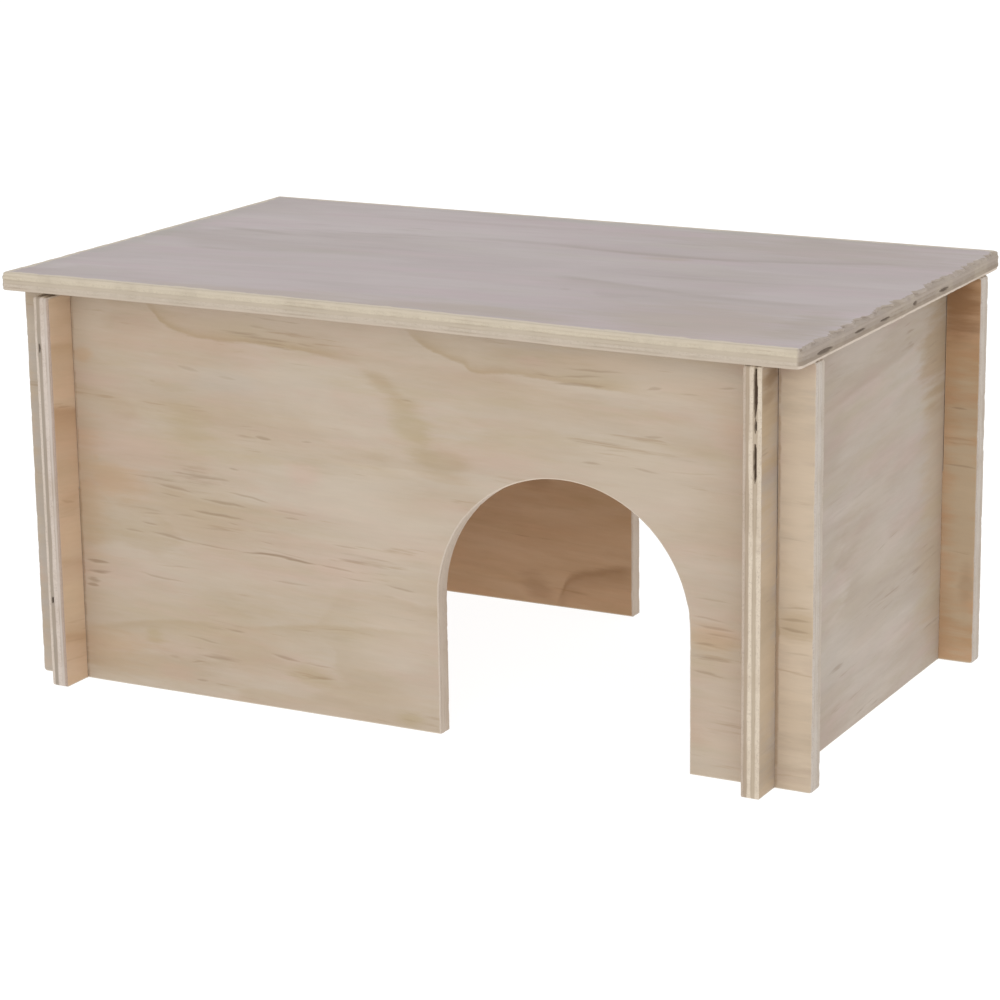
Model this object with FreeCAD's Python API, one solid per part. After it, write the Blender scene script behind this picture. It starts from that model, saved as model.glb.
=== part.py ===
import FreeCAD, Part
import os

# Wooden hamster house, in millimetres. Four plywood walls cross each other at the corners in halving
# slots and stand on the ground; a loose roof board lies on top. The origin is on the ground in the middle
# of the house, +X runs along the front, +Y towards the back and +Z up.

# Boards
wall_board = 5.5           # thickness of the four wall boards
roof_board = 5.5           # thickness of the roof board
wall_height = 122.5        # height of the four wall boards
long_wall_length = 260.0   # front and back boards, end to end along X
side_wall_length = 159.0   # left and right boards, end to end along Y
corner_radius = 1.0        # sanded corners of every board, seen flat on

# Crossed corners
tab_reach = 11.4           # how far each board runs on past the outer face of the board it crosses
slot_play = 0.3            # gap left on each side of a board in the slot it crosses in
seat_height = 61.25        # height at which the crossed boards sit on each other

# Arched doorways, one in the front and one in line with it in the back
door_width = 80.0
door_side_height = 41.5    # straight sides, up to where the round top starts
door_end_margin = 37.5     # board left between the doorway and the board's right-hand end

# Battens glued under the roof, which keep it from sliding off the walls
batten_width = 12.0
batten_height = 10.0
batten_play = 1.0          # gap between a batten and each wall beside it

# Places that follow from the sizes above
side_outer_x = long_wall_length / 2 - tab_reach
side_inner_x = side_outer_x - wall_board
long_outer_y = side_wall_length / 2 - tab_reach
long_inner_y = long_outer_y - wall_board
slot_width = wall_board + 2 * slot_play
door_radius = door_width / 2
door_centre_x = long_wall_length / 2 - door_end_margin - door_radius

along_x = FreeCAD.Vector(1, 0, 0)
along_y = FreeCAD.Vector(0, 1, 0)
along_z = FreeCAD.Vector(0, 0, 1)


def block(x_range, y_range, z_range):
    """Plain block between two values on each axis."""
    low = FreeCAD.Vector(x_range[0], y_range[0], z_range[0])
    high = FreeCAD.Vector(x_range[1], y_range[1], z_range[1])
    size = high - low
    return Part.makeBox(size.x, size.y, size.z, low)


def sanded_board(x_range, y_range, z_range, thin_axis):
    """Board with its four corners rounded, as seen along its thin axis."""
    board = block(x_range, y_range, z_range)
    corners = [edge for edge in board.Edges if edge.Curve.Direction.dot(thin_axis)]
    return board.makeFillet(corner_radius, corners)


def centred(middle, width):
    """Range of the given width about its middle."""
    return (middle - width / 2, middle + width / 2)


def make_long_wall(y_range):
    """Front or back wall: doorway, and a slot open upwards near each end."""
    wall = sanded_board(centred(0, long_wall_length), y_range, (0, wall_height), along_y)
    for side in (-1, 1):
        slot_middle = side * (side_outer_x - wall_board / 2)
        wall = wall.cut(block(centred(slot_middle, slot_width), y_range, (seat_height, wall_height)))
    door_foot = block(centred(door_centre_x, door_width), y_range, (0, door_side_height))
    arch_start = FreeCAD.Vector(door_centre_x, y_range[0], door_side_height)
    arch = Part.makeCylinder(door_radius, y_range[1] - y_range[0], arch_start, along_y)
    return wall.cut(door_foot.fuse(arch)).removeSplitter()


def make_side_wall(x_range):
    """Left or right wall: a slot open downwards near each end."""
    wall = sanded_board(x_range, centred(0, side_wall_length), (0, wall_height), along_x)
    for side in (-1, 1):
        slot_middle = side * (long_outer_y - wall_board / 2)
        wall = wall.cut(block(x_range, centred(slot_middle, slot_width), (0, seat_height)))
    return wall


def make_roof():
    """Roof board, as long and wide as the walls reach, lying on their top edges."""
    z_range = (wall_height, wall_height + roof_board)
    return sanded_board(centred(0, long_wall_length), centred(0, side_wall_length), z_range, along_z)


def make_batten(side):
    """Strip under the roof from front to back, just inside the side wall; side is -1 left or 1 right."""
    middle_x = side * (side_inner_x - batten_play - batten_width / 2)
    half_length = long_inner_y - batten_play
    z_range = (wall_height - batten_height, wall_height)
    return block(centred(middle_x, batten_width), (-half_length, half_length), z_range)


pieces = {
    "front_panel": make_long_wall((-long_outer_y, -long_inner_y)),
    "back_panel": make_long_wall((long_inner_y, long_outer_y)),
    "left_side_panel": make_side_wall((-side_outer_x, -side_inner_x)),
    "right_side_panel": make_side_wall((side_inner_x, side_outer_x)),
    "roof_panel": make_roof(),
    "left_roof_batten": make_batten(-1),
    "right_roof_batten": make_batten(1),
}

os.makedirs("parts", exist_ok=True)
for name, shape in pieces.items():
    shape.exportStep("parts/" + name + ".step")
    print(name, round(shape.Volume), "mm3, valid:", shape.isValid(), "solids:", len(shape.Solids))
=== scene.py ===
import math
import random
import bmesh
import bpy
from mathutils import Matrix, Vector, noise as mathNoise


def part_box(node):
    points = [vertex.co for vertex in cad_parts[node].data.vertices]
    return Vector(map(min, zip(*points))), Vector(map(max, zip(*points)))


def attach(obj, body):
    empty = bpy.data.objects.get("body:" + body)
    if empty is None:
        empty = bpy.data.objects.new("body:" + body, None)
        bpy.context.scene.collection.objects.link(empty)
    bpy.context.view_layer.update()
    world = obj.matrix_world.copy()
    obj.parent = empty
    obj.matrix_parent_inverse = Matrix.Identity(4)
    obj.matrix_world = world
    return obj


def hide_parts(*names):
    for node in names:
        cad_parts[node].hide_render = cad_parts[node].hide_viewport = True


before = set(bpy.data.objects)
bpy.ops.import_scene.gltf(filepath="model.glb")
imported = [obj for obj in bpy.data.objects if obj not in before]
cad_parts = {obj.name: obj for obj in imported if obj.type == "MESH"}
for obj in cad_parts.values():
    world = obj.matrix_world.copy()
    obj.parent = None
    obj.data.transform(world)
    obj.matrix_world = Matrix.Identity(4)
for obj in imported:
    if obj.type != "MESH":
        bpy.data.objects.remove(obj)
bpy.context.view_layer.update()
mm = 0.001
print("frame loaded")


# small helpers for node trees

def feed(tree, value, socket):
    if isinstance(value, bpy.types.NodeSocket):
        tree.links.new(value, socket)
    else:
        socket.default_value = value


def addNode(tree, kind, inputs=(), **settings):
    made = tree.nodes.new(kind)
    for name, value in settings.items():
        setattr(made, name, value)
    for key, value in dict(inputs).items():
        feed(tree, value, made.inputs[key])
    return made


def calc(tree, operation, *values, clamp=False):
    made = addNode(tree, "ShaderNodeMath", operation=operation, use_clamp=clamp)
    for socket, value in zip(made.inputs, values):
        feed(tree, value, socket)
    return made.outputs[0]


def times(tree, a, b):
    return calc(tree, "MULTIPLY", a, b)


def plus(tree, a, b):
    return calc(tree, "ADD", a, b)


def minus(tree, a, b):
    return calc(tree, "SUBTRACT", a, b)


def total(tree, values, operation="ADD"):
    result = values[0]
    for value in values[1:]:
        result = calc(tree, operation, result, value)
    return result


def vectorCalc(tree, operation, *values, result=0):
    made = addNode(tree, "ShaderNodeVectorMath", operation=operation)
    for socket, value in zip(made.inputs, values):
        feed(tree, value, socket)
    return made.outputs[result]


def scaled(tree, vector, factor):
    return addNode(tree, "ShaderNodeVectorMath", {0: vector, "Scale": factor}, operation="SCALE").outputs[0]


def ease(tree, value, low, high, outLow=0.0, outHigh=1.0):
    # smooth step from low to high
    inputs = {"Value": value, "From Min": low, "From Max": high, "To Min": outLow, "To Max": outHigh}
    made = addNode(tree, "ShaderNodeMapRange", inputs, interpolation_type="SMOOTHSTEP", clamp=False)
    return made.outputs["Result"]


def noise(tree, vector, scale=1.0, detail=2.0, roughness=0.5, w=0.0, distortion=0.0):
    inputs = {"Vector": vector, "W": w, "Scale": scale, "Detail": detail, "Roughness": roughness,
              "Distortion": distortion}
    return addNode(tree, "ShaderNodeTexNoise", inputs, noise_dimensions="4D").outputs["Fac"]


def splitVector(tree, vector):
    return addNode(tree, "ShaderNodeSeparateXYZ", {0: vector}).outputs


def joinVector(tree, x, y, z):
    return addNode(tree, "ShaderNodeCombineXYZ", {0: x, 1: y, 2: z}).outputs[0]


def mixColour(tree, factor, a, b, blend="MIX"):
    made = addNode(tree, "ShaderNodeMix", data_type="RGBA", blend_type=blend)
    feed(tree, factor, made.inputs["Factor"])
    feed(tree, a, made.inputs[6])
    feed(tree, b, made.inputs[7])
    return made.outputs[2]


def tinted(tree, colour, tint, mask, share):
    # the colour with a share of the tint where the mask is
    return mixColour(tree, times(tree, mask, share), colour, tint)


def brighten(tree, colour, factor):
    return mixColour(tree, 1.0, colour, joinVector(tree, factor, factor, factor), "MULTIPLY")


def varied(tree, pattern, share):
    # a brightness that swings by the share about 1, as the noise does about its middle
    return ease(tree, pattern, 0.25, 0.75, 1.0 - share, 1.0 + share)


def surfaceMark(tree, name):
    # a value that the mesh carries at each point
    return addNode(tree, "ShaderNodeAttribute", attribute_name=name).outputs["Fac"]


def newTree(name, kind, inputs, outputs):
    # a socket is a number unless its name goes on with a type, such as "board:Vector"
    tree = bpy.data.node_groups.new(name, kind)
    for direction, sockets in (("INPUT", inputs), ("OUTPUT", outputs)):
        for socket in sockets:
            socketName, _, socketType = socket.partition(":")
            socketType = "NodeSocket" + (socketType or "Float")
            tree.interface.new_socket(socketName, in_out=direction, socket_type=socketType)
    start = tree.nodes.new("NodeGroupInput").outputs
    end = tree.nodes.new("NodeGroupOutput").inputs
    return tree, start, end


def useGroup(tree, group, **values):
    made = addNode(tree, "ShaderNodeGroup", node_tree=group)
    for name, value in values.items():
        feed(tree, value, made.inputs[name])
    return made.outputs


def tone(red, green, blue):
    # colour as seen on screen, 0 to 255, made linear
    linear = [((c / 255 + 0.055) / 1.055) ** 2.4 if c > 10 else c / 255 / 12.92 for c in (red, green, blue)]
    return (*linear, 1.0)


def tones(*colours):
    return [tone(*colour) for colour in colours]


def addObject(name, data):
    made = bpy.data.objects.new(name, data)
    bpy.context.scene.collection.objects.link(made)
    return made


# camera, light and floor

shot = {
    "azimuth": 28.04,
    "elevation": 14.83,
    "roll": -0.80,
    "distance": 0.9876,
    "lookAt": (-0.0031, 0.0, 0.0532),
    "lens": 114.63,          # on a 36 mm wide sensor
}


def makeCamera():
    azimuth = math.radians(shot["azimuth"])
    elevation = math.radians(shot["elevation"])
    backwards = Vector((math.sin(azimuth) * math.cos(elevation),
                        -math.cos(azimuth) * math.cos(elevation),
                        math.sin(elevation)))
    camera = addObject("camera", bpy.data.cameras.new("camera"))
    camera.data.lens = shot["lens"]
    camera.data.sensor_width = 36
    place = Matrix.Translation(Vector(shot["lookAt"]) + backwards * shot["distance"])
    roll = Matrix.Rotation(math.radians(shot["roll"]), 4, "Z")
    camera.matrix_world = place @ backwards.to_track_quat("Z", "Y").to_matrix().to_4x4() @ roll
    bpy.context.scene.camera = camera


studio = {
    "sky": 0.80,
    "floorTone": (0.20, 0.20, 0.20, 1.0),
    "floorGlow": 0.94,       # a light table keeps the floor pale under the house
    "floorSize": 30.0,
    "floorDrop": -0.05 * mm,
    # name: place, point it looks at, size, watts
    "lamps": {
        "keyLamp": ((0.9, -2.0, 1.4), (0, 0, 0.05), 1.8, 12.0),
        "fillLamp": ((2.2, 0.2, 1.6), (0, 0, 0.05), 1.8, 4.0),
    },
}


def makeStudio():
    scene = bpy.context.scene
    scene.view_settings.view_transform = "Standard"
    world = bpy.data.worlds.new("studioSky")
    world.use_nodes = True
    background = world.node_tree.nodes["Background"]
    background.inputs["Color"].default_value = (1, 1, 1, 1)
    background.inputs["Strength"].default_value = studio["sky"]
    scene.world = world
    for name, (place, target, size, power) in studio["lamps"].items():
        lamp = bpy.data.lights.new(name, "AREA")
        lamp.shape = "SQUARE"
        lamp.size = size
        lamp.energy = power
        holder = addObject(name, lamp)
        holder.location = place
        holder.rotation_euler = (Vector(place) - Vector(target)).to_track_quat("Z", "Y").to_euler()
    material = bpy.data.materials.new("paleFloor")
    material.use_nodes = True
    shader = material.node_tree.nodes["Principled BSDF"]
    shader.inputs["Base Color"].default_value = studio["floorTone"]
    shader.inputs["Roughness"].default_value = 0.9
    shader.inputs["Specular IOR Level"].default_value = 0.1
    shader.inputs["Emission Color"].default_value = (1, 1, 1, 1)
    shader.inputs["Emission Strength"].default_value = studio["floorGlow"]
    mesh = bpy.data.meshes.new("floor")
    half = studio["floorSize"] / 2
    corners = [(-half, -half, 0), (half, -half, 0), (half, half, 0), (-half, half, 0)]
    mesh.from_pydata(corners, [], [(0, 1, 2, 3)])
    mesh.materials.append(material)
    floor = addObject("floor", mesh)
    floor.location.z = studio["floorDrop"]


makeCamera()
makeStudio()
print("camera and studio set")


# effects that several materials share.
# Board coordinates: x runs along the face grain, y across it, z tells the sheets apart

veneer = {
    # each noise's scale along and across the grain, detail, roughness, seed step and distortion
    "rings": (6.0, 17.0, 3.0, 0.42, 0.0, 0.5),
    "wander": (60.0, 230.0, 3.0, 0.6, 0.0, 0.0),
    "flamePatches": (14.0, 34.0, 3.0, 0.5, 3.0, 0.0),
    "thinLines": (26.0, 640.0, 3.0, 0.6, 7.0, 0.0),
    "lineGroups": (24.0, 75.0, 3.0, 0.6, 11.0, 0.0),
    "lineDepth": (40.0, 300.0, 1.0, 0.5, 13.0, 0.0),
    "wisps": (30.0, 470.0, 3.0, 0.62, 37.0, 0.2),
    "fibre": (55.0, 1300.0, 3.0, 0.65, 1.0, 0.0),
    "streaks": (14.0, 420.0, 4.0, 0.7, 2.0, 0.0),
    "mottle": (30.0, 190.0, 5.0, 0.72, 43.0, 0.0),
    "cloud": (11.0, 56.0, 5.0, 0.66, 17.0, 0.4),
    "blush": (18.0, 85.0, 5.0, 0.66, 23.0, 0.0),
    "olive": (15.0, 95.0, 5.0, 0.68, 29.0, 0.0),
    "ringsPerMetre": 8.0,        # across the grain, before the height field bends them
    "ringWander": 0.20,
    "sheetStep": 400.0,          # keeps the figures of a board's two faces apart
    "lateToGroup": 0.06,         # how much the latewood and the placed groups add to a group of dashes
    "groundToGroup": 0.32,
    "dashLimit": (0.975, 0.58),  # of the noise outside a group, and how much it falls inside
    "wispLimit": (0.70, 0.15),
    # levels between which a noise sets in
    "levels": {
        "rise": (0.25, 0.90), "drop": (0.92, 1.0), "flamePatches": (0.38, 0.66), "lineDepth": (0.30, 0.72),
        "dashes": (-0.02, 0.14), "wispGroups": (0.42, 0.72), "wisps": (0.0, 0.13),
        "cloud": (0.34, 0.66), "blush": (0.44, 0.66), "olive": (0.46, 0.68),
    },
}


def veneerFigure():
    # rotary cut pine: broad latewood flames, short dark pores, fibres and cloudy tints
    tree, given, out = newTree("veneerFigure", "ShaderNodeTree",
                               ["board:Vector", "flames", "dashGround", "seed"],
                               ["latewood", "dashes", "wisps", "fibre", "streaks", "mottle", "cloud",
                                "blush", "olive"])
    board, seed = given["board"], given["seed"]

    def pattern(name):
        x, y, detail, roughness, seedStep, distortion = veneer[name]
        stretched = vectorCalc(tree, "MULTIPLY", board, (x, y, 1.0))
        w = plus(tree, seed, seedStep) if seedStep else seed
        return noise(tree, stretched, 1.0, detail, roughness, w, distortion)

    def setIn(value, name, outLow=0.0, outHigh=1.0):
        return ease(tree, value, *veneer["levels"][name], outLow, outHigh)

    # growth rings are contour lines of a slow height field, sharp on one side
    height = pattern("rings")
    wander = pattern("wander")
    level = times(tree, height, given["flames"])
    level = plus(tree, level, times(tree, splitVector(tree, board)["Y"], veneer["ringsPerMetre"]))
    level = plus(tree, level, times(tree, wander, veneer["ringWander"]))
    ring = calc(tree, "FRACT", level)
    rise = setIn(ring, "rise")
    drop = setIn(ring, "drop", 1.0, 0.0)
    patchy = setIn(pattern("flamePatches"), "flamePatches")
    late = total(tree, [rise, drop, patchy], "MULTIPLY")
    feed(tree, late, out["latewood"])

    # thin dashes along the grain, more of them where a group is dense
    thin = pattern("thinLines")
    group = pattern("lineGroups")
    group = plus(tree, group, times(tree, late, veneer["lateToGroup"]))
    group = plus(tree, group, times(tree, given["dashGround"], veneer["groundToGroup"]))
    highest, fall = veneer["dashLimit"]
    limit = minus(tree, highest, times(tree, group, fall))
    strength = setIn(pattern("lineDepth"), "lineDepth", 0.25)
    over = setIn(minus(tree, thin, limit), "dashes")
    feed(tree, times(tree, over, strength), out["dashes"])

    # longer and wider wisps in the same groups
    wisp = pattern("wisps")
    highest, fall = veneer["wispLimit"]
    limit = minus(tree, highest, times(tree, setIn(group, "wispGroups"), fall))
    feed(tree, setIn(minus(tree, wisp, limit), "wisps"), out["wisps"])

    for name in ("fibre", "streaks", "mottle"):
        feed(tree, pattern(name), out[name])
    for name in ("cloud", "blush", "olive"):
        feed(tree, setIn(pattern(name), name), out[name])
    return tree


def roughNoises():
    # the noises that make patches, strokes, rings and rims ragged
    tree, given, out = newTree("roughNoises", "ShaderNodeTree", ["board:Vector"],
                               ["drawing:Vector", "cloudy", "ragged", "wobble", "sway", "torn"])

    def along(x, y):
        return vectorCalc(tree, "MULTIPLY", given["board"], (x, y, 1.0))

    cloudy = noise(tree, along(32.0, 230.0), detail=4.0, roughness=0.65)
    feed(tree, ease(tree, cloudy, 0.15, 0.85, -0.55, 0.55), out["cloudy"])
    ragged = ease(tree, noise(tree, along(45.0, 700.0), detail=2.0), 0.30, 0.70, 0.45, 1.50)
    feed(tree, ragged, out["ragged"])
    # marks are drawn in this plane. A height taken from the noise keeps the renderer from working them all
    # out before the noise they need, which it has no room for
    parts = splitVector(tree, given["board"])
    feed(tree, joinVector(tree, parts["X"], parts["Y"], ragged), out["drawing"])
    wobble = noise(tree, along(55.0, 90.0), detail=2.0)
    feed(tree, ease(tree, wobble, 0.2, 0.8, -1.3, 1.3), out["wobble"])
    feed(tree, noise(tree, along(150.0, 700.0), detail=4.0, roughness=0.7), out["sway"])
    feed(tree, noise(tree, along(130.0, 260.0), detail=4.0, roughness=0.6), out["torn"])
    return tree


def softPatch():
    # a cloudy oval, for tints and groups of dashes. The stronger of it and the mask before it goes on
    tree, given, out = newTree("softPatch", "ShaderNodeTree",
                               ["board:Vector", "cloudy", "centre:Vector", "along:Vector", "across:Vector",
                                "amount", "before"],
                               ["mask"])
    away = vectorCalc(tree, "SUBTRACT", given["board"], given["centre"])
    u = vectorCalc(tree, "DOT_PRODUCT", away, given["along"], result=1)
    v = vectorCalc(tree, "DOT_PRODUCT", away, given["across"], result=1)
    reach = calc(tree, "SQRT", calc(tree, "MULTIPLY_ADD", u, u, times(tree, v, v)))
    reach = plus(tree, reach, given["cloudy"])
    mask = times(tree, ease(tree, reach, 0.25, 1.15, 1.0, 0.0), given["amount"])
    feed(tree, calc(tree, "MAXIMUM", mask, given["before"]), out["mask"])
    return tree


def grainStroke():
    # one dark line of resin or latewood, or of painted shade where a stroke follows a joint, thinning out
    # at both ends, with a paler one just below.
    # dot products with along and across give the share of its length and the distance in widths
    tree, given, out = newTree("grainStroke", "ShaderNodeTree",
                               ["board:Vector", "ragged", "wobble", "start:Vector", "along:Vector",
                                "across:Vector", "amount", "before", "lightBefore"],
                               ["mask", "light"])
    away = vectorCalc(tree, "SUBTRACT", given["board"], given["start"])
    share = vectorCalc(tree, "DOT_PRODUCT", away, given["along"], result=1)
    aside = plus(tree, vectorCalc(tree, "DOT_PRODUCT", away, given["across"], result=1), given["wobble"])
    middle = times(tree, share, minus(tree, 4.0, times(tree, share, 4.0)))
    body = minus(tree, times(tree, middle, given["ragged"]), calc(tree, "ABSOLUTE", aside))
    mask = times(tree, ease(tree, body, -0.15, 0.9), given["amount"])
    feed(tree, calc(tree, "MAXIMUM", mask, given["before"]), out["mask"])
    below = times(tree, ease(tree, aside, -2.3, -1.3), ease(tree, aside, -1.1, -0.6, 1.0, 0.0))
    light = total(tree, [below, middle, given["amount"]], "MULTIPLY")
    feed(tree, calc(tree, "MAXIMUM", light, given["lightBefore"]), out["light"])
    return tree


def plyGrain():
    # what a sawn ply shows: pores where it is cut across, streaks where it is cut along
    tree, given, out = newTree("plyGrain", "ShaderNodeTree",
                               ["board:Vector", "plyLayer", "endShare", "seed"],
                               ["streak", "pores", "stain"])
    board, seed, endShare = given["board"], given["seed"], given["endShare"]
    isCross = calc(tree, "PINGPONG", given["plyLayer"], 1.0)
    isFace = minus(tree, 1.0, isCross)
    alongFace, alongCross = (noise(tree, vectorCalc(tree, "MULTIPLY", board, stretch), detail=3.0, w=seed)
                             for stretch in ((70.0, 1500.0, 1500.0), (1500.0, 70.0, 1500.0)))
    feed(tree, plus(tree, times(tree, alongCross, isCross),
                    times(tree, alongFace, isFace)), out["streak"])
    endGrain = plus(tree, times(tree, isCross, minus(tree, 1.0, endShare)),
                    times(tree, isFace, endShare))
    speckle = noise(tree, board, 2300.0, 3.0, 0.7, w=seed)
    feed(tree, times(tree, ease(tree, speckle, 0.50, 0.72), endGrain), out["pores"])
    stain = noise(tree, board, 95.0, 4.0, 0.6, w=plus(tree, seed, 5.0))
    feed(tree, ease(tree, stain, 0.42, 0.72), out["stain"])
    return tree


# each effect is built once
figureGroup = veneerFigure()
roughGroup = roughNoises()
patchGroup = softPatch()
strokeGroup = grainStroke()
plyGroup = plyGrain()
print("wood effects built")


def boardVector(tree, order, throughScale):
    # object coordinates in board order, such as "xzy": along the grain, across it, through the sheet
    place = addNode(tree, "ShaderNodeTexCoord").outputs["Object"]
    parts = splitVector(tree, place)
    axes = {"x": parts["X"], "y": parts["Y"], "z": parts["Z"]}
    return joinVector(tree, axes[order[0]], axes[order[1]], times(tree, axes[order[2]], throughScale))


def ringEdge(tree, rough, ring):
    # a growth ring's hard edge drawn through points in mm, its tint fading away on one side
    points = ring["points"]
    lowU, highU = points[0][0], points[-1][0]
    lowV = min(p[1] for p in points) - 1
    highV = max(p[1] for p in points) + 1
    parts = splitVector(tree, rough["drawing"])
    inputs = {"Value": parts["X"], "From Min": lowU * mm, "From Max": highU * mm}
    share = addNode(tree, "ShaderNodeMapRange", inputs).outputs["Result"]
    drawn = addNode(tree, "ShaderNodeFloatCurve", {"Value": share})
    curve = drawn.mapping.curves[0]
    for index, (u, v) in enumerate(points):
        spot = ((u - lowU) / (highU - lowU), (v - lowV) / (highV - lowV))
        if index in (0, len(points) - 1):
            curve.points[0 if index == 0 else -1].location = spot
        else:
            curve.points.new(*spot)
    drawn.mapping.update()
    edge = plus(tree, times(tree, drawn.outputs[0], (highV - lowV) * mm), lowV * mm)
    sway = times(tree, minus(tree, rough["sway"], 0.5), ring.get("wobble", 2.2) * mm)
    away = plus(tree, minus(tree, parts["Y"], edge), sway)
    away = times(tree, away, ring["side"] / mm)
    hard = ease(tree, away, -ring["soft"], ring["soft"])
    fade = plus(tree, ease(tree, away, 0.0, ring["fade"], 0.55, 0.0),
                ease(tree, away, 0.0, ring["fade"] * 0.3, 0.45, 0.0))
    ends = times(tree, ease(tree, share, 0.0, 0.12), ease(tree, share, 0.72, 1.0, 1.0, 0.0))
    return total(tree, [hard, fade, ends, ring["strength"]], "MULTIPLY")


def placedPatches(tree, rough, patches):
    # each patch is u, v, half length, half height in mm, degrees, amount
    mask = 0.0
    for u, v, halfLength, halfHeight, turn, amount in patches:
        along = Vector((math.cos(math.radians(turn)), math.sin(math.radians(turn)), 0))
        across = Vector((-along.y, along.x, 0))
        mask = useGroup(tree, patchGroup, board=rough["drawing"], cloudy=rough["cloudy"],
                        centre=(u * mm, v * mm, 0), along=along / (halfLength * mm),
                        across=across / (halfHeight * mm), amount=amount, before=mask)["mask"]
    return mask


def placedStrokes(tree, rough, strokes):
    # each stroke is start u, v, end u, v, width in mm, amount
    mask, light = 0.0, 0.0
    for startU, startV, endU, endV, width, amount in strokes:
        run = Vector((endU - startU, endV - startV, 0)) * mm
        side = Vector((-run.y, run.x, 0)).normalized()
        halfWidth = 0.6 * width * mm     # a little more than half, because the ends thin out
        made = useGroup(tree, strokeGroup, board=rough["drawing"], ragged=rough["ragged"],
                        wobble=rough["wobble"], start=(startU * mm, startV * mm, 0),
                        along=run / run.length_squared, across=side / halfWidth, amount=amount,
                        before=mask, lightBefore=light)
        mask, light = made["mask"], made["light"]
    return mask, light


def newMaterial(name):
    material = bpy.data.materials.new(name)
    material.use_nodes = True
    tree = material.node_tree
    return material, tree, tree.nodes["Principled BSDF"]


def finishSurface(tree, shader, colour, roughness, relief, look):
    feed(tree, colour, shader.inputs["Base Color"])
    feed(tree, roughness, shader.inputs["Roughness"])
    shader.inputs["Specular IOR Level"].default_value = look["shine"]
    bump = {"Height": relief, "Strength": look["bump"], "Distance": look["bumpDepth"]}
    feed(tree, addNode(tree, "ShaderNodeBump", bump).outputs[0], shader.inputs["Normal"])


def faceMaterial(name, order, look):
    # the sanded veneer on one side of a board
    material, tree, shader = newMaterial(name)
    board = boardVector(tree, order, veneer["sheetStep"])
    rough = useGroup(tree, roughGroup, board=board)
    ground = placedPatches(tree, rough, look.get("dashGroups", ()))
    mapping = {"Vector": board, "Location": look["shift"], "Rotation": (0, 0, math.radians(look["tilt"]))}
    slanted = addNode(tree, "ShaderNodeMapping", mapping).outputs[0]
    figure = useGroup(tree, figureGroup, board=slanted, flames=look["flames"], dashGround=ground,
                      seed=look["seed"])
    colour = mixColour(tree, figure["cloud"], look["pale"], look["mid"])
    for tint in ("olive", "blush"):
        colour = tinted(tree, colour, look[tint], figure[tint], look[tint + "Share"])
    # placed tints: the wood's own colour, and in some places painted light and painted shade where the
    # house's parts light and shade each other
    for tint, patches in look.get("tints", ()):
        colour = mixColour(tree, placedPatches(tree, rough, patches), colour, tint)
    late = times(tree, figure["latewood"], look["lateShare"])
    late = calc(tree, "MAXIMUM", placedPatches(tree, rough, look.get("tanPatches", ())), late)
    for ring in look.get("rings", ()):
        late = calc(tree, "MAXIMUM", ringEdge(tree, rough, ring), late)
    colour = mixColour(tree, late, colour, look["late"])
    shades = [varied(tree, figure[pattern], look[pattern]) for pattern in ("fibre", "streaks", "mottle")]
    colour = brighten(tree, colour, total(tree, shades, "MULTIPLY"))
    colour = tinted(tree, colour, look["wisp"], figure["wisps"], look["wispShare"])
    dashes = times(tree, figure["dashes"], look["dashShare"])
    if look.get("strokes"):
        drawn, light = placedStrokes(tree, rough, look["strokes"])
        dashes = calc(tree, "MAXIMUM", dashes, times(tree, drawn, look["strokeShare"]))
        colour = tinted(tree, colour, look["rim"], light, look["lightShare"])
    colour = mixColour(tree, dashes, colour, look["dash"])
    # sanding breaks the veneer's rim and shows paler wood
    torn = plus(tree, surfaceMark(tree, "rim"), times(tree, rough["torn"], look["rimTear"]))
    colour = tinted(tree, colour, look["rim"], ease(tree, torn, 1.05, 1.25), look["rimShare"])
    roughness = plus(tree, look["rough"], times(tree, figure["fibre"], look["fibreRough"]))
    relief = plus(tree, figure["fibre"], figure["streaks"])
    finishSurface(tree, shader, colour, roughness, relief, look)
    return material


def toneRamp(tree, place, plyTones):
    # one tone for each ply
    made = addNode(tree, "ShaderNodeValToRGB", {"Fac": place})
    ramp = made.color_ramp
    while len(ramp.elements) < len(plyTones):
        ramp.elements.new(0.5)
    for index in range(len(plyTones)):
        ramp.elements[index].position = index / (len(plyTones) - 1)
    for index, plyTone in enumerate(plyTones):
        ramp.elements[index].color = plyTone
    return made.outputs["Color"]


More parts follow.
